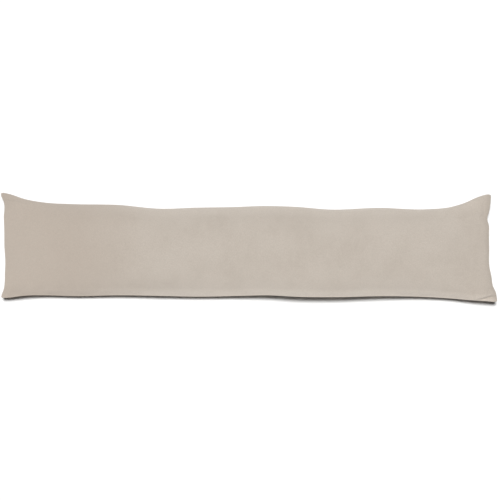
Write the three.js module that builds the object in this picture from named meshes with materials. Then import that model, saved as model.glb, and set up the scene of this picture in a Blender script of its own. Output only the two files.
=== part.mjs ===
// Draught excluder: a long velvet cushion that lies on its back along the foot of a door.
// Two equal panels are sewn together along one seam on all four sides, turned and filled.
// The filling pulls the seam in between the corners and leaves a flat ear at each corner.
// Millimetres. +X runs along the cushion, +Y towards its far long seam and +Z up.
// The origin is on the floor, under the middle of the cushion's box.

import * as THREE from 'three';
import { LoftGeometry } from 'three/addons/geometries/LoftGeometry.js';

const { lerp, smoothstep } = THREE.MathUtils;

// The cover
const LENGTH = 900; // over the ears, end to end
const PANEL_WIDTH = 200; // each panel laid flat, seam to seam
const SEAM_THICKNESS = 5; // two turned-in edges of velvet, pressed together
const SEAM_NOSE = 2; // how far the rounded edge of the seam stands out from the panels
const EAR_ROUND = 10; // distance from each corner over which its ear is rounded off
const EAR_PULL = 2.2; // how far the tip of an ear stands back, both along and across

// How the filled cover lies
const FAR_HEIGHT = 38; // the far long seam above the floor
const END_SAG = 9; // how much lower each end seam hangs between its ears
const END_RUN = 150; // length over which the seam comes down to the end
const CROWN_FULLNESS = 0.92; // crown of the soft filling, as a share of a tight arc's
const CROWN_TAPER = { left: 140, right: 110 }; // length over which the crown comes down to each end
const REST_WIDTH_SHARE = 0.5; // part of the width that lies flat on the floor
const REST_SETBACK = 85; // distance from each end seam to the flat part
const REST_LINES = { near: -89, far: 75 }; // the long seams, straightened, above the flat part

// How round the panels are: a higher bend keeps them flat for longer, and a lower edge
// power makes them steeper at the seam.
const CROWN_ROUND = { bend: 2.1, edge: 0.68 };
const TAPER_ROUND = { bend: 2.2, edge: 0.62 };
const FLANK_ROUND = { bend: 2.2, edge: 0.72 };

// The long seams: a row for each section along the cushion, at a percentage of its length from
// the left end, with the places of its far and near seams seen from above, and how high the near
// seam lies.
const LONG_SEAMS = [
  { at: 0, far: 102, near: -92.5, nearHeight: 27 },
  { at: 2, far: 98, near: -91.5, nearHeight: 30 },
  { at: 5, far: 89, near: -88.5, nearHeight: 33 },
  { at: 9, far: 82.5, near: -87, nearHeight: 28 },
  { at: 15, far: 79.5, near: -88, nearHeight: 25 },
  { at: 24, far: 78, near: -87, nearHeight: 28 },
  { at: 32.5, far: 71, near: -88.5, nearHeight: 30 },
  { at: 40, far: 73, near: -89.5, nearHeight: 28 },
  { at: 47, far: 74, near: -89, nearHeight: 32 },
  { at: 54, far: 76, near: -89.5, nearHeight: 43 },
  { at: 60, far: 74.5, near: -93, nearHeight: 48 },
  { at: 67, far: 69.5, near: -93.5, nearHeight: 47 },
  { at: 77, far: 72.5, near: -90.5, nearHeight: 40 },
  { at: 86.5, far: 70, near: -90.5, nearHeight: 28 },
  { at: 91.5, far: 74, near: -93.5, nearHeight: 28 },
  { at: 94.5, far: 82, near: -97, nearHeight: 34 },
  { at: 97, far: 92, near: -99, nearHeight: 38 },
  { at: 99, far: 97.5, near: -100.5, nearHeight: 37 },
  { at: 100, far: 98.5, near: -101.5, nearHeight: 36 },
];

// The end seams, seen from above: a row for each place across the cushion, at a percentage
// of its width from the near corner, with the places of its left and right seams along it.
const END_SEAMS = [
  { at: 0, left: -450, right: 452 },
  { at: 5, left: -446.5, right: 450 },
  { at: 9, left: -444, right: 449 },
  { at: 16, left: -442.5, right: 443.5 },
  { at: 24, left: -442.5, right: 441.5 },
  { at: 34, left: -442, right: 438 },
  { at: 50, left: -444, right: 438 },
  { at: 64, left: -444.5, right: 438 },
  { at: 71, left: -445, right: 438.3 },
  { at: 78.5, left: -445.5, right: 435.3 },
  { at: 83.5, left: -444.5, right: 438.3 },
  { at: 91, left: -445.5, right: 441 },
  { at: 96, left: -450, right: 442 },
  { at: 100, left: -452, right: 443.5 },
];

// Folds in the upper panel that run out of the ears: soft troughs, and a ridge where the depth
// is negative.
const FOLDS = [
  { from: [411, -100], to: [461, -87], depth: 5, reach: 4 }, // near right ear, tucked under
  { from: [409, -92], to: [459, -79], depth: -4, reach: 8 }, // filling that swells up beside it
  { from: [432, 91], to: [427, 39], depth: 2.5, reach: 6 }, // far right ear, pulled along the end
  { from: [-450, 93], to: [-398, 81.5], depth: 2, reach: 6 }, // far left ear
  { from: [-443, -88], to: [-375, -80], depth: 2, reach: 6 }, // near left ear
];

// Steps of the surface, closer together at the ends and at the long seams
const STEPS_ALONG = 70;
const STEPS_ACROSS = 18;
const END_CLOSENESS = 0.65; // 0 spaces the steps along evenly, 1 crowds them into the ends

// Shares from 0 to 1 in equal steps, crowded towards both ends as a circle's shadow is.
function crowdedShares(steps, closeness) {
  return Array.from({ length: steps + 1 }, (_, i) => {
    const even = i / steps;
    const crowded = (1 - Math.cos(Math.PI * even)) / 2;
    return lerp(even, crowded, closeness);
  });
}

// A smooth curve through one column of a table, read at a share of the way along it.
function curveThrough(table, column) {
  const shares = table.map((row) => row.at / 100);
  const values = table.map((row) => row[column]);
  const curve = new THREE.CubicInterpolant(shares, values, 1);
  return (share) => curve.evaluate(share)[0];
}

const farSeam = curveThrough(LONG_SEAMS, 'far');
const nearSeam = curveThrough(LONG_SEAMS, 'near');
const nearHeight = curveThrough(LONG_SEAMS, 'nearHeight');
const leftSeam = curveThrough(END_SEAMS, 'left');
const rightSeam = curveThrough(END_SEAMS, 'right');

// One on the middle of a panel and zero on its edge, where offset is 1.
function roundOver(offset, { bend, edge }) {
  return (1 - THREE.MathUtils.clamp(offset, 0, 1) ** bend) ** edge;
}

// Distance to the nearer end seam, at a share of the way along.
function endDistance(along) {
  return Math.min(along, 1 - along) * LENGTH;
}

// One at the four corners of the cover, and zero where its ears are no longer rounded off.
function earTip(along, across) {
  const fromSide = Math.min(across, 1 - across) * PANEL_WIDTH;
  const fromCorner = Math.hypot(endDistance(along), fromSide);
  return Math.max(0, 1 - fromCorner / EAR_ROUND) ** 2;
}

// Height of the seam around the point, as if the cover were a sheet stretched across it.
function seamHeight(along, across) {
  const nearEnd = 1 - smoothstep(endDistance(along), 0, END_RUN);
  const betweenEars = 1 - Math.abs(2 * across - 1) ** 3;
  return lerp(nearHeight(along), FAR_HEIGHT, across) - END_SAG * nearEnd * betweenEars;
}

// Rise of the crown above the seams. A panel wider than the gap that it spans bows up by the
// height of a shallow arc of its own width.
function crownRise(gap) {
  const slack = Math.max(0, PANEL_WIDTH / gap - 1);
  return CROWN_FULLNESS * gap * Math.sqrt((3 / 8) * slack);
}

// Depth of the folds at a point, fading to nothing at both ends of each.
function foldDepth(x, y) {
  const point = new THREE.Vector3(x, y, 0);
  const closest = new THREE.Vector3();
  return FOLDS.reduce((total, { from, to, depth, reach }) => {
    const line = new THREE.Line3(new THREE.Vector3(...from, 0), new THREE.Vector3(...to, 0));
    const share = line.closestPointToPointParameter(point, true);
    const off = line.at(share, closest).distanceTo(point);
    return total + depth * Math.sin(Math.PI * share) * Math.exp(-((off / reach) ** 2));
  }, 0);
}

// The two points of the cover, above and below, at a share of the way along and across.
function coverPoints(along, across) {
  const setBack = SEAM_NOSE + EAR_PULL * earTip(along, across);
  const inset = (extent, place) => place * (1 - setBack / extent);
  const x = inset(LENGTH / 2, lerp(leftSeam(across), rightSeam(across), along));
  const y = inset(PANEL_WIDTH / 2, lerp(nearSeam(along), farSeam(along), across));
  const seam = seamHeight(along, across);
  const fromMiddle = Math.abs(2 * across - 1);

  const flank = roundOver((fromMiddle - REST_WIDTH_SHARE) / (1 - REST_WIDTH_SHARE), FLANK_ROUND);
  const lift = roundOver(1 - endDistance(along) / REST_SETBACK, FLANK_ROUND);
  const restX = lerp(-LENGTH / 2, LENGTH / 2, along);
  const restY = lerp(REST_LINES.near, REST_LINES.far, across);
  const atRest = new THREE.Vector3(restX, restY, 0);
  const below = new THREE.Vector3(x, y, seam - SEAM_THICKNESS / 2).lerp(atRest, flank * lift);

  const taperLeft = roundOver(1 - (along * LENGTH) / CROWN_TAPER.left, TAPER_ROUND);
  const taperRight = roundOver(1 - ((1 - along) * LENGTH) / CROWN_TAPER.right, TAPER_ROUND);
  const gap = farSeam(along) - nearSeam(along);
  const crown = crownRise(gap) * roundOver(fromMiddle, CROWN_ROUND) * taperLeft * taperRight;
  const above = new THREE.Vector3(x, y, seam + SEAM_THICKNESS / 2 + crown);
  const deepest = (above.z - below.z) / 2;
  above.z -= Math.min(deepest, foldDepth(x, y));
  return { above, below };
}

// One ring around the cushion: the lower panel from near to far, then the upper panel back, with
// the rounded edge of a long seam after each. pinch brings the panels together, from 0 to 1.
function section(along, pinch) {
  const pairs = crowdedShares(STEPS_ACROSS, 1).map((across) => coverPoints(along, across));
  const pinched = pairs.map(({ above, below }) => ({
    above: above.clone().lerp(below, pinch / 2),
    below: below.clone().lerp(above, pinch / 2),
  }));
  const seamEdge = ({ above, below }, outward) => {
    const edge = above.clone().lerp(below, 0.5);
    edge.y += outward * SEAM_NOSE;
    return edge;
  };
  return [
    ...pinched.map(({ below }) => below),
    seamEdge(pairs.at(-1), 1),
    ...pinched.map(({ above }) => above).reverse(),
    seamEdge(pairs.at(0), -1),
  ];
}

// The rounded edge of an end seam: its section again, half as thick and further out.
function endEdge(along, outward) {
  const ring = section(along, 0.5);
  ring.forEach((point) => {
    point.x += outward * SEAM_NOSE;
  });
  return ring;
}

function filledCover() {
  const rings = crowdedShares(STEPS_ALONG, END_CLOSENESS).map((along) => section(along, 0));
  const sections = [endEdge(0, -1), ...rings, endEdge(1, 1)];
  const geometry = new LoftGeometry(sections, { capStart: true, capEnd: true });
  geometry.computeBoundingBox();
  const middle = geometry.boundingBox.getCenter(new THREE.Vector3());
  geometry.translate(-middle.x, -middle.y, 0);
  const velvet = new THREE.MeshStandardMaterial({ color: 0xc5bbae, roughness: 0.95, metalness: 0 });
  const cover = new THREE.Mesh(geometry, velvet);
  cover.name = 'filled_cover';
  return cover;
}

const draughtExcluder = new THREE.Group();
draughtExcluder.add(filledCover());

export default draughtExcluder;
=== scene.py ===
import math

import bpy
import numpy as np
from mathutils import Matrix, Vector


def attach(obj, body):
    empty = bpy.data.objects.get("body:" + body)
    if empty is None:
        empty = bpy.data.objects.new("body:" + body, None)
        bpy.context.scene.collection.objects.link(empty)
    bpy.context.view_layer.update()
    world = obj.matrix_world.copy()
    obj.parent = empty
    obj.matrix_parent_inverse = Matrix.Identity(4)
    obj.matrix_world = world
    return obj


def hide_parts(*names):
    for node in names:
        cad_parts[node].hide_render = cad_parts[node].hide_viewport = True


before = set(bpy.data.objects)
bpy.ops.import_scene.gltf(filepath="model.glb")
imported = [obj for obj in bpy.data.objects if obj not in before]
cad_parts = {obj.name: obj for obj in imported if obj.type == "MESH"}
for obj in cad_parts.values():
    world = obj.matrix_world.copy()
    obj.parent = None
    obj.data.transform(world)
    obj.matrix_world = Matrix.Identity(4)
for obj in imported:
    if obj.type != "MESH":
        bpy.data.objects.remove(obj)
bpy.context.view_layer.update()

# A draught excluder: a long velvet cushion that lies on its back on a pale floor.
# Two panels are sewn together on all four sides. Their seam is held where it lies in the photograph,
# a cloth simulation blows the panels up, and the seam's rolled edge, its puckers and the folds of the
# ears are then worked into the result.
# Sizes are in millimetres up to the finished mesh, which is in metres like the frame.

MM = 0.001
COVER_NODE = "filled_cover"

# The cover
LENGTH = 900
PANEL_WIDTH = 200

# The long seams: percent of the length from the left end, the places of the far and the near seam seen
# from above, and how high the near seam lies, from the shadow under it
LONG_AT = (0, 2, 5, 9, 15, 24, 32.5, 40, 47, 54, 60, 67, 77, 86.5, 91.5, 94.5, 97, 99, 100)
FAR = (102, 98, 89, 82.5, 79.5, 78, 71, 73, 74, 76, 74.5, 69.5, 72.5, 70, 74, 82, 92, 97.5, 98.5)
NEAR = (
    -92.5, -91.5, -88.5, -87, -88, -87, -88.5, -89.5, -89, -89.5,
    -93, -93.5, -90.5, -90.5, -93.5, -97, -99, -100.5, -101.5,
)
NEAR_HEIGHT = (27, 30, 33, 28, 25, 28, 30, 28, 32, 43, 48, 47, 40, 28, 28, 34, 38, 37, 36)

# The end seams seen from above: percent of the width from the near corner, left end, right end
END_AT = (0, 5, 9, 16, 24, 34, 50, 64, 71, 78.5, 83.5, 91, 96, 100)
LEFT = (
    -450, -446.5, -444, -442.5, -442.5, -442, -444,
    -444.5, -445, -445.5, -444.5, -445.5, -450, -452,
)
RIGHT = (452, 450, 449, 443.5, 441.5, 438, 438, 438, 438.3, 435.3, 438.3, 441, 442, 443.5)

# How the rest of the seam lies
FAR_HEIGHT = 38
END_SAG = 9
END_RUN = 150
EAR_ROUND = 10
EAR_PULL = 2.2

# How the panels lie before they are blown up, much as in the CAD solid
CROWN_FULLNESS = 0.92
CROWN_ROUND = (2.1, 0.68)
TAPER_LEFT = 140
TAPER_RIGHT = 110
TAPER_ROUND = (2.2, 0.62)
REST_WIDTH_SHARE = 0.5
REST_SETBACK = 85
REST_NEAR = -89
REST_FAR = 75
FLANK_ROUND = (2.2, 0.72)

# The share of the way to the floor beyond which the lower panel counts as lying on it
ON_FLOOR = 0.999

# The simulation: steps along and across, and how far it may move a point
SIM_STEPS = (180, 40)
SIM_FRAMES = 24
SIM_QUALITY = 6
PRESSURE = 14.0
CLOTH_MASS = 0.001
CLOTH_SPARE = 0.002
STRETCH_STIFFNESS = 15
SHEAR_STIFFNESS = 5
BENDING_STIFFNESS = 1.0
SMOOTHING_PASSES = 3
SIM_REACH = 8

# The finished surface: steps along and across, and how much they crowd towards the seams
FINE_STEPS = (380, 116)
CLOSENESS = (0.75, 0.8)

# The seam's rolled edge, from the upper panel round to the lower one: outwards, upwards
SEAM_PROFILE = ((-0.35, 1.8), (0, 1.2), (-0.7, 0), (-0.5, -1), (-0.9, -1.8))

# How far the panels stand back from the seam, how far above or below its middle they meet it, and the share
# of that which no pucker or fold may take from them
SEAM_SETBACK = 1.5
SEAM_THICKNESS = 2.1
SEAM_CLEARANCE = 0.6

# Lumps of the filling, and puckers that the stitches draw into the panels
LUMP_HEIGHT = 2.4
LUMP_SPACING = 60
PUCKER_DEPTH = 1.5
PUCKER_SPACING = 11
PUCKER_REACH = 15
PUCKER_START = 5
CLOTH_SEED = 4

# Folds in the upper panel that run out of the ears: from, to, depth, reach
FOLDS = (
    ((411, -100), (453, -88.6), 3.2, 1.8),  # near right
    ((434, -93), (450, -83.5), 3, 1.8),  # near right
    ((447, -63), (431, -85), 2, 3),  # near right
    ((432, 91), (427, 39), 2.5, 5),  # far right
    ((441, 73), (421, 51), 1.8, 3),  # far right
    ((-443, 83), (-419, 33), 1.5, 6),  # far left
    ((-443, -88), (-375, -80), 2, 5),  # near left
)

# Lines along which the filling swells up behind a flat ear, on their left: from, to, rise, width of the
# steep lip, width of the whole swelling
TUCKS = (
    ((409, -100), (454, -88.2), 6.5, 3, 30),  # near right
    ((-398, 81.5), (-452, 93.4), 5, 6, 45),  # far left
)

# The velvet's linear colours
NAP_DARK = (0.432, 0.386, 0.338)
NAP_LIGHT = (0.467, 0.421, 0.372)
# Darker, browner painted shade towards both ends
PAINTED_END_SHADE = (0.411, 0.354, 0.303)
# A painted highlight along the long seams
PAINTED_SEAM_HIGHLIGHT = (0.559, 0.507, 0.4515)
# Darker pile for the grain, and painted shade along the right end seam and at the ears
PILE_GRAIN_AND_PAINTED_SHADE = (0.318, 0.28, 0.241)

# Its gloss
DIFFUSE_ROUGHNESS = 0.4
SPECULAR_LEVEL = 0.1
SHEEN_WEIGHT = 0.2
SHEEN_ROUGHNESS = 0.4
SHEEN_TINT = (1, 0.95, 0.89, 1)
ROUGHNESS = (0.86, 0.96)

# Its noises: features a metre and detail, the scale of the brushed ones along, across and up, and the
# ranges of noise over which one look turns into the other
NAP_NOISE = (14, 3)
PATCH_NOISE = (70, 2)
PILE_NOISE = (900, 2)
BRUSHED = (1, 0.45, 1)
NAP_RANGE = (0.3, 0.7)
PILE_RANGE = (0.35, 0.65)
PATCH_SHARE = 0.5
PILE_SHARE = 0.3

# The relief of its pile: height in metres, and strength
PILE_HEIGHT = 0.0006
PILE_BUMP = 0.8

# Where shade is painted towards the ends, along the right end seam and at the ears, and a highlight along
# the long seams: in metres along the cushion or in from a seam, and how much of the other colour shows
# there
LEFT_SHADE_RANGE = (-0.33, -0.13)
LEFT_SHADE_SHARE = 0.75
RIGHT_SHADE_RANGE = (0.36, 0.43)
RIGHT_SHADE_SHARE = 0.25
FAR_HIGHLIGHT_REACH = 0.032
FAR_HIGHLIGHT_SHARE = 0.47
NEAR_HIGHLIGHT_REACH = 0.0135
NEAR_HIGHLIGHT_SHARE = 0.8
RIGHT_END_SHADE_REACH = 0.01
RIGHT_END_SHADE_SHARE = 0.4
EAR_SHADE_SHARE = 0.25

# Places where shade is painted at the ears: centre, reach, strength
PAINTED_EAR_SHADES = (((-420, -90), 36, 1), ((-448, 99), 42, 1), ((440, 97), 42, 0.8))

# The camera, at the photograph's angle to the face
CAMERA_ELEVATION = 80
CAMERA_LENS = 200
CAMERA_SENSOR = 36
CAMERA_TARGET = (3.1, -5.1, 38)
CAMERA_SIGHT_M = 200
FRAME_WIDTH = 907.5

# The floor and the light. A sun: name, strength, angle across it in degrees, direction
FLOOR_HALF_WIDTH = 30000.0
FLOOR_COLOUR = (0.8, 0.8, 0.8, 1)
WORLD_STRENGTH = 0.02
SUNS = (
    ("key", 4.1, 12, (0.03, -0.016, -1)),
    ("fill", 0.42, 30, (0, 0.8, -0.6)),
)


def curve_through(knots, values):
    """A smooth curve through values at the knots, read at shares from the first knot to the last."""
    knots = np.array(knots, float)
    values = np.array(values, float)
    slopes = np.gradient(values, knots, axis=0)

    def curve(share):
        i = np.clip(np.searchsorted(knots, share, side="right") - 1, 0, len(knots) - 2)
        gap = knots[i + 1] - knots[i]
        s = (share - knots[i]) / gap
        shape = np.shape(share) + (1,) * (values.ndim - 1)
        s, gap = np.reshape(s, shape), np.reshape(gap, shape)
        start = values[i] * (1 + 2 * s) * (1 - s) ** 2 + slopes[i] * gap * s * (1 - s) ** 2
        end = values[i + 1] * s**2 * (3 - 2 * s) - slopes[i + 1] * gap * s**2 * (1 - s)
        return start + end

    return curve


far_seam = curve_through(np.array(LONG_AT) / 100, FAR)
near_seam = curve_through(np.array(LONG_AT) / 100, NEAR)
near_height = curve_through(np.array(LONG_AT) / 100, NEAR_HEIGHT)
left_seam = curve_through(np.array(END_AT) / 100, LEFT)
right_seam = curve_through(np.array(END_AT) / 100, RIGHT)


def smoothstep(x, low, high):
    s = np.clip((x - low) / (high - low), 0, 1)
    return s * s * (3 - 2 * s)


def round_over(offset, bend, edge):
    """One on the middle of a panel and zero on its edge, where offset is 1."""
    return (1 - np.clip(offset, 0, 1) ** bend) ** edge


def ear_tip(along, across):
    """One at the four corners of the cover, and zero where its ears are no longer round."""
    from_end = np.minimum(along, 1 - along) * LENGTH
    from_side = np.minimum(across, 1 - across) * PANEL_WIDTH
    return np.clip(1 - np.hypot(from_end, from_side) / EAR_ROUND, 0, 1) ** 2


def seam_sheet(along, across):
    """Points of a sheet stretched across the seam, at shares along and across."""
    x = left_seam(across) * (1 - along) + right_seam(across) * along
    y = near_seam(along) * (1 - across) + far_seam(along) * across
    near_end = 1 - smoothstep(np.minimum(along, 1 - along) * LENGTH, 0, END_RUN)
    sag = END_SAG * near_end * (1 - np.abs(2 * across - 1) ** 3)
    z = near_height(along) * (1 - across) + FAR_HEIGHT * across - sag
    rounded = EAR_PULL * ear_tip(along, across)
    x = x - np.sign(along - 0.5) * rounded
    y = y - np.sign(across - 0.5) * rounded
    return np.stack([x, y, z], axis=-1)


def crown(along, across):
    """Height of the upper panel above the seam. A panel wider than its gap bows up as a shallow arc."""
    gap = far_seam(along) - near_seam(along)
    slack = np.maximum(PANEL_WIDTH / gap - 1, 0)
    rise = CROWN_FULLNESS * gap * np.sqrt(3 / 8 * slack)
    taper_left = round_over(1 - along * LENGTH / TAPER_LEFT, *TAPER_ROUND)
    taper_right = round_over(1 - (1 - along) * LENGTH / TAPER_RIGHT, *TAPER_ROUND)
    return rise * round_over(np.abs(2 * across - 1), *CROWN_ROUND) * taper_left * taper_right


def settled(along, across):
    """How far the lower panel has come down from the seam to the floor, from 0 to 1."""
    beside = (np.abs(2 * across - 1) - REST_WIDTH_SHARE) / (1 - REST_WIDTH_SHARE)
    beyond = 1 - np.minimum(along, 1 - along) * LENGTH / REST_SETBACK
    return round_over(beside, *FLANK_ROUND) * round_over(beyond, *FLANK_ROUND)


def plain_panels(along, across):
    """The upper and the lower panel as in the CAD solid, without the seam's thickness."""
    sheet = seam_sheet(along, across)
    upper = sheet.copy()
    upper[..., 2] += crown(along, across)
    rest_x = (along - 0.5) * LENGTH
    rest_y = REST_NEAR + (REST_FAR - REST_NEAR) * across
    on_floor = np.stack([rest_x, rest_y, np.zeros_like(rest_x)], axis=-1)
    share = settled(along, across)[..., None]
    return upper, sheet * (1 - share) + on_floor * share


def panel_quads(index, up):
    """Quads of a grid of point numbers, facing up or down."""
    a, b, c, d = index[:-1, :-1], index[1:, :-1], index[1:, 1:], index[:-1, 1:]
    corners = (a, b, c, d) if up else (d, c, b, a)
    return np.stack(corners, axis=-1).reshape(-1, 4)


def mesh_object(name, points, quads):
    mesh = bpy.data.meshes.new(name)
    mesh.from_pydata((points * MM).tolist(), [], quads.tolist())
    mesh.update()
    obj = bpy.data.objects.new(name, mesh)
    bpy.context.scene.collection.objects.link(obj)
    return obj


def blown_up(along, across):
    """Both panels after a simulation that starts from the plain ones, with the seam held."""
    upper, lower = plain_panels(along, across)
    on_seam = np.zeros(along.shape, bool)
    on_seam[[0, -1], :] = True
    on_seam[:, [0, -1]] = True
    upper_index = np.arange(along.size).reshape(along.shape)
    lower_index = upper_index.copy()
    lower_index[~on_seam] = along.size + np.arange((~on_seam).sum())
    points = np.concatenate([upper.reshape(-1, 3), lower[~on_seam]])
    quads = np.concatenate([panel_quads(upper_index, True), panel_quads(lower_index, False)])
    cover = mesh_object("blown_up", points, quads)
    held = cover.vertex_groups.new(name="held")
    on_floor = (settled(along, across) > ON_FLOOR) & ~on_seam
    held.add(upper_index[on_seam].tolist() + lower_index[on_floor].tolist(), 1.0, "REPLACE")

    cloth = cover.modifiers.new("filling", "CLOTH")
    settings = cloth.settings
    settings.quality = SIM_QUALITY
    settings.mass = CLOTH_MASS
    settings.tension_stiffness = STRETCH_STIFFNESS
    settings.compression_stiffness = STRETCH_STIFFNESS
    settings.shear_stiffness = SHEAR_STIFFNESS
    settings.bending_stiffness = BENDING_STIFFNESS
    settings.use_pressure = True
    settings.uniform_pressure_force = PRESSURE
    settings.shrink_min = -CLOTH_SPARE
    settings.vertex_group_mass = held.name
    settings.effector_weights.gravity = 0
    cloth.collision_settings.use_collision = False
    cloth.point_cache.frame_end = SIM_FRAMES
    scene = bpy.context.scene
    for number in range(1, SIM_FRAMES + 1):
        scene.frame_set(number)
    result = cover.evaluated_get(bpy.context.evaluated_depsgraph_get()).data
    moved = np.empty(len(points) * 3)
    result.vertices.foreach_get("co", moved)
    moved = moved.reshape(-1, 3) / MM
    scene.frame_set(1)
    bpy.data.objects.remove(cover)
    return [
        start + capped(smoothed(moved[index] - start))
        for start, index in ((upper, upper_index), (lower, lower_index))
    ]


def smoothed(grid):
    """A grid with each inner point moved to the mean of itself and its neighbours, a few times over."""
    grid = grid.copy()
    for _ in range(SMOOTHING_PASSES):
        beside = grid[:-2, 1:-1] + grid[2:, 1:-1] + grid[1:-1, :-2] + grid[1:-1, 2:]
        grid[1:-1, 1:-1] = grid[1:-1, 1:-1] / 2 + beside / 8
    return grid


def capped(moves):
    """Moves no longer than the simulation may reach."""
    lengths = np.linalg.norm(moves, axis=-1, keepdims=True)
    return moves * np.minimum(1, SIM_REACH / np.maximum(lengths, 1e-9))


def resampled(grid, old_shares, new_shares):
    """A grid of points read at other shares along and across."""
    for axis in (0, 1):
        curve = curve_through(old_shares[axis], np.moveaxis(grid, axis, 0))
        grid = np.moveaxis(curve(new_shares[axis]), 0, axis)
    return grid


def crowded_shares(steps, closeness):
    """Shares from 0 to 1, crowded towards both ends."""
    even = np.linspace(0, 1, steps + 1)
    return even + closeness * ((1 - np.cos(np.pi * even)) / 2 - even)


def fold_depth(x, y):
    """Depth of the folds at points of the upper panel, fading to nothing at both ends of each."""
    total = np.zeros_like(x)
    for start, end, depth, reach in FOLDS:
        way = np.subtract(end, start)
        share = ((x - start[0]) * way[0] + (y - start[1]) * way[1]) / (way @ way)
        share = np.clip(share, 0, 1)
        off = np.hypot(x - start[0] - share * way[0], y - start[1] - share * way[1])
        total += depth * np.sin(np.pi * share) * np.exp(-((off / reach) ** 2))
    return total


def tuck_rise(x, y):
    """Height of the swellings behind the ears, each on the left of its line."""
    total = np.zeros_like(x)
    for start, end, rise, lip, run in TUCKS:
        way = np.subtract(end, start)
        share = ((x - start[0]) * way[0] + (y - start[1]) * way[1]) / (way @ way)
        left = (way[0] * (y - start[1]) - way[1] * (x - start[0])) / np.hypot(*way)
        faded = np.sqrt(np.sin(np.pi * np.clip(share, 0, 1)))
        total += rise * faded * smoothstep(left, 0, lip) * (1 - smoothstep(left, lip, run))
    return total


def lumps(along, across, rng):
    """Soft unevenness of the filling, which dies out towards the seams."""
    counts = [round(size / LUMP_SPACING) + 1 for size in (LENGTH, PANEL_WIDTH)]
    heights = rng.uniform(-1, 1, counts)
    lattice = [np.linspace(0, 1, count) for count in counts]
    even = resampled(heights, lattice, (along[:, 0], across[0]))
    # One in the middle of the panel
    inside = 16 * along * (1 - along) * across * (1 - across)
    return LUMP_HEIGHT * even * np.sqrt(inside)


def puckers(along, across, rng):
    """Waves that run in from the seams and die out."""
    total = np.zeros_like(along)
    sides = (
        (along * LENGTH, across * PANEL_WIDTH),
        (along * LENGTH, (1 - across) * PANEL_WIDTH),
        (across * PANEL_WIDTH, along * LENGTH),
        (across * PANEL_WIDTH, (1 - along) * LENGTH),
    )
    for run, inset in sides:
        count = round(run.max() / PUCKER_SPACING) + 1
        wave = curve_through(np.linspace(0, run.max(), count), rng.uniform(-1, 1, count))
        total += wave(run) * np.exp(-inset / PUCKER_REACH) * smoothstep(inset, 0, PUCKER_START)
    return PUCKER_DEPTH * total


def ear_shade_share(x, y):
    """How much shade is painted at the ears, from 0 to 1."""
    total = np.zeros_like(x)
    for centre, reach, strength in PAINTED_EAR_SHADES:
        distance = np.hypot(x - centre[0], y - centre[1])
        total += strength * (1 - smoothstep(distance, 0, reach))
    return total


def seam_loop(grid):
    """The border of a grid in one closed loop, counter-clockwise seen from above."""
    return np.concatenate([grid[:-1, 0], grid[-1, :-1], grid[:0:-1, -1], grid[0, :0:-1]])


def rolled_edge(seam):
    """Rings of points round the seam, between the edges of the upper and the lower panel."""
    tangent = np.roll(seam, -1, axis=0) - np.roll(seam, 1, axis=0)
    outward = np.stack([tangent[:, 1], -tangent[:, 0], np.zeros(len(seam))], axis=-1)
    outward /= np.linalg.norm(outward, axis=-1, keepdims=True)
    return [seam + out * outward + np.array([0, 0, up]) for out, up in SEAM_PROFILE]


def finished_panels(along, across, sheet, panels):
    """Both panels set back from the seam, with lumps, puckers, folds and swellings worked into them."""
    upper, lower = panels
    back = np.array([1 - SEAM_SETBACK / (LENGTH / 2), 1 - SEAM_SETBACK / (PANEL_WIDTH / 2), 1])
    rest = settled(along, across)
    upper *= back
    lower[..., :2] = np.where(rest[..., None] > ON_FLOOR, lower[..., :2], lower[..., :2] * back[:2])
    rng = np.random.default_rng(CLOTH_SEED)
    upper[..., 2] += SEAM_THICKNESS + lumps(along, across, rng) + puckers(along, across, rng)
    upper[..., 2] += tuck_rise(upper[..., 0], upper[..., 1]) - fold_depth(upper[..., 0], upper[..., 1])
    lower[..., 2] -= (1 - rest) * (SEAM_THICKNESS + puckers(along, across, rng))
    clear = SEAM_THICKNESS * SEAM_CLEARANCE
    upper[..., 2] = np.maximum(upper[..., 2], sheet[..., 2] + clear)
    lower[..., 2] = np.clip(lower[..., 2], 0, sheet[..., 2] - clear)
    return upper, lower


def cushion():
    old = [np.linspace(0, 1, steps + 1) for steps in SIM_STEPS]
    new = [crowded_shares(*pair) for pair in zip(FINE_STEPS, CLOSENESS)]
    coarse = np.meshgrid(*old, indexing="ij")
    along, across = np.meshgrid(*new, indexing="ij")
    sheet = seam_sheet(along, across)
    coarse_sheet = seam_sheet(*coarse)
    panels = [sheet + resampled(panel - coarse_sheet, old, new) for panel in blown_up(*coarse)]
    upper, lower = finished_panels(along, across, sheet, panels)
    seam = seam_loop(sheet)
    rings = rolled_edge(seam)

    panel_size = along.size
    upper_index = np.arange(panel_size).reshape(along.shape)
    lower_index = upper_index + panel_size
    loops = [seam_loop(upper_index)]
    loops += [2 * panel_size + len(seam) * i + np.arange(len(seam)) for i in range(len(rings))]
    loops.append(seam_loop(lower_index))
    edge_quads = [
        np.stack([high, low, np.roll(low, -1), np.roll(high, -1)], axis=-1)
        for high, low in zip(loops, loops[1:])
    ]
    points = np.concatenate([upper.reshape(-1, 3), lower.reshape(-1, 3), *rings])
    quads = np.concatenate([panel_quads(upper_index, True), panel_quads(lower_index, False), *edge_quads])
    piece = mesh_object("velvet_cushion", points, quads)
    piece.data.shade_smooth()

    measures = {
        "from_far": (1 - across) * PANEL_WIDTH * MM,
        "from_near": across * PANEL_WIDTH * MM,
        "from_right": (1 - along) * LENGTH * MM,
        # How much shade is painted at the ears
        "painted_ear_shade": ear_shade_share(sheet[..., 0], sheet[..., 1]),
    }
    for name, grid in measures.items():
        values = np.concatenate([grid.ravel()] * 2 + [seam_loop(grid)] * len(rings))
        piece.data.attributes.new(name, "FLOAT", "POINT").data.foreach_set("value", values)
    return piece


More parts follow.
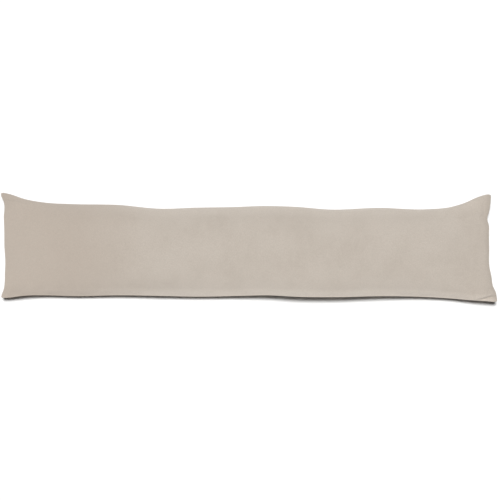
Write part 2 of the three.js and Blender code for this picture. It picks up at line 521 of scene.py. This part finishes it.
def velvet():
    """Short-piled stone velvet, mottled by the lie of its nap, with a painted highlight along the long
    seams and painted shade towards the ends, along the right end seam and at the ears.
    """
    material = bpy.data.materials.new("stone_velvet")
    material.use_nodes = True
    tree = material.node_tree
    shader = tree.nodes["Principled BSDF"]
    shader.inputs["Diffuse Roughness"].default_value = DIFFUSE_ROUGHNESS
    shader.inputs["Specular IOR Level"].default_value = SPECULAR_LEVEL
    shader.inputs["Sheen Weight"].default_value = SHEEN_WEIGHT
    shader.inputs["Sheen Roughness"].default_value = SHEEN_ROUGHNESS
    shader.inputs["Sheen Tint"].default_value = SHEEN_TINT

    place = tree.nodes.new("ShaderNodeTexCoord").outputs["Object"]
    brushed = stretched(tree, place, BRUSHED)
    nap = noise(tree, place, *NAP_NOISE)
    patches = noise(tree, brushed, *PATCH_NOISE)
    pile = noise(tree, brushed, *PILE_NOISE)
    axes = tree.nodes.new("ShaderNodeSeparateXYZ")
    tree.links.new(place, axes.inputs[0])
    x = axes.outputs["X"]
    from_far = attribute(tree, "from_far")
    from_near = attribute(tree, "from_near")
    from_right = attribute(tree, "from_right")
    painted_ear_shade = attribute(tree, "painted_ear_shade")

    colour = mixed(tree, spread(tree, nap, *NAP_RANGE, 0, 1), NAP_DARK, NAP_LIGHT)
    colour = mixed(tree, spread(tree, patches, *NAP_RANGE, 0, PATCH_SHARE), colour, NAP_LIGHT)
    # Painted highlight along the far and the near seam
    colour = mixed(tree, spread(tree, from_far, 0, FAR_HIGHLIGHT_REACH, FAR_HIGHLIGHT_SHARE, 0), colour, PAINTED_SEAM_HIGHLIGHT)
    colour = mixed(tree, spread(tree, from_near, 0, NEAR_HIGHLIGHT_REACH, NEAR_HIGHLIGHT_SHARE, 0), colour, PAINTED_SEAM_HIGHLIGHT)
    # Painted shade towards the left and the right end
    colour = mixed(tree, spread(tree, x, *LEFT_SHADE_RANGE, LEFT_SHADE_SHARE, 0), colour, PAINTED_END_SHADE)
    colour = mixed(tree, spread(tree, x, *RIGHT_SHADE_RANGE, 0, RIGHT_SHADE_SHARE), colour, PAINTED_END_SHADE)
    # Painted shade along the right end seam
    colour = mixed(tree, spread(tree, from_right, 0, RIGHT_END_SHADE_REACH, RIGHT_END_SHADE_SHARE, 0), colour, PILE_GRAIN_AND_PAINTED_SHADE)
    # Painted shade at the ears
    colour = mixed(tree, spread(tree, painted_ear_shade, 0, 1, 0, EAR_SHADE_SHARE), colour, PILE_GRAIN_AND_PAINTED_SHADE)
    colour = mixed(tree, spread(tree, pile, *PILE_RANGE, PILE_SHARE, 0), colour, PILE_GRAIN_AND_PAINTED_SHADE)
    tree.links.new(colour, shader.inputs["Base Color"])
    tree.links.new(spread(tree, patches, *NAP_RANGE, *ROUGHNESS), shader.inputs["Roughness"])

    bump = tree.nodes.new("ShaderNodeBump")
    bump.inputs["Strength"].default_value = PILE_BUMP
    bump.inputs["Distance"].default_value = PILE_HEIGHT
    tree.links.new(pile, bump.inputs["Height"])
    tree.links.new(bump.outputs["Normal"], shader.inputs["Normal"])
    return material


def attribute(tree, name):
    node = tree.nodes.new("ShaderNodeAttribute")
    node.attribute_name = name
    return node.outputs["Fac"]


def noise(tree, place, scale, detail):
    node = tree.nodes.new("ShaderNodeTexNoise")
    node.inputs["Scale"].default_value = scale
    node.inputs["Detail"].default_value = detail
    tree.links.new(place, node.inputs["Vector"])
    return node.outputs["Fac"]


def stretched(tree, place, scale):
    node = tree.nodes.new("ShaderNodeMapping")
    node.inputs["Scale"].default_value = scale
    tree.links.new(place, node.inputs["Vector"])
    return node.outputs["Vector"]


def spread(tree, value, from_min, from_max, to_min, to_max):
    node = tree.nodes.new("ShaderNodeMapRange")
    node.interpolation_type = "SMOOTHSTEP"
    limits = {"From Min": from_min, "From Max": from_max, "To Min": to_min, "To Max": to_max}
    for name, number in limits.items():
        node.inputs[name].default_value = number
    tree.links.new(value, node.inputs["Value"])
    return node.outputs["Result"]


def mixed(tree, share, colour, other):
    node = tree.nodes.new("ShaderNodeMix")
    node.data_type = "RGBA"
    tree.links.new(share, node.inputs["Factor"])
    for socket, value in ((node.inputs[6], colour), (node.inputs[7], other)):
        if isinstance(value, tuple):
            socket.default_value = (*value, 1)
        else:
            tree.links.new(value, socket)
    return node.outputs[2]


def floor():
    points = np.array([[-1, -1, 0], [1, -1, 0], [1, 1, 0], [-1, 1, 0]]) * FLOOR_HALF_WIDTH
    piece = mesh_object("floor", points, np.array([[0, 1, 2, 3]]))
    material = bpy.data.materials.new("pale_floor")
    material.use_nodes = True
    shader = material.node_tree.nodes["Principled BSDF"]
    shader.inputs["Base Color"].default_value = FLOOR_COLOUR
    shader.inputs["Roughness"].default_value = 1
    shader.inputs["Specular IOR Level"].default_value = 0
    piece.data.materials.append(material)
    return piece


def lights(lit):
    """A soft sun overhead, and a fill from the near side that lights one piece alone."""
    scene = bpy.context.scene
    world = bpy.data.worlds.new("studio")
    scene.world = world
    world.use_nodes = True
    background = world.node_tree.nodes["Background"]
    background.inputs["Color"].default_value = (1, 1, 1, 1)
    background.inputs["Strength"].default_value = WORLD_STRENGTH
    for name, strength, angle, towards in SUNS:
        sun = bpy.data.lights.new(name, "SUN")
        sun.energy = strength
        sun.angle = math.radians(angle)
        obj = bpy.data.objects.new(name, sun)
        obj.rotation_euler = Vector(towards).to_track_quat("-Z", "Y").to_euler()
        scene.collection.objects.link(obj)
    filled = bpy.data.collections.new("filled")
    filled.objects.link(lit)
    bpy.data.objects["fill"].light_linking.receiver_collection = filled


def camera():
    data = bpy.data.cameras.new("camera")
    data.lens = CAMERA_LENS
    data.sensor_width = CAMERA_SENSOR
    data.clip_end = CAMERA_SIGHT_M
    obj = bpy.data.objects.new("camera", data)
    elevation = math.radians(CAMERA_ELEVATION)
    back = Vector((0, -math.cos(elevation), math.sin(elevation)))
    obj.location = (Vector(CAMERA_TARGET) + back * (FRAME_WIDTH * CAMERA_LENS / CAMERA_SENSOR)) * MM
    obj.rotation_euler = (-back).to_track_quat("-Z", "Y").to_euler()
    bpy.context.scene.collection.objects.link(obj)
    bpy.context.scene.camera = obj


camera()
floor()

cover = cushion()
lights(cover)
cover.data.materials.append(velvet())
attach(cover, "root")
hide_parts(COVER_NODE)

bpy.context.scene.view_settings.view_transform = "Standard"
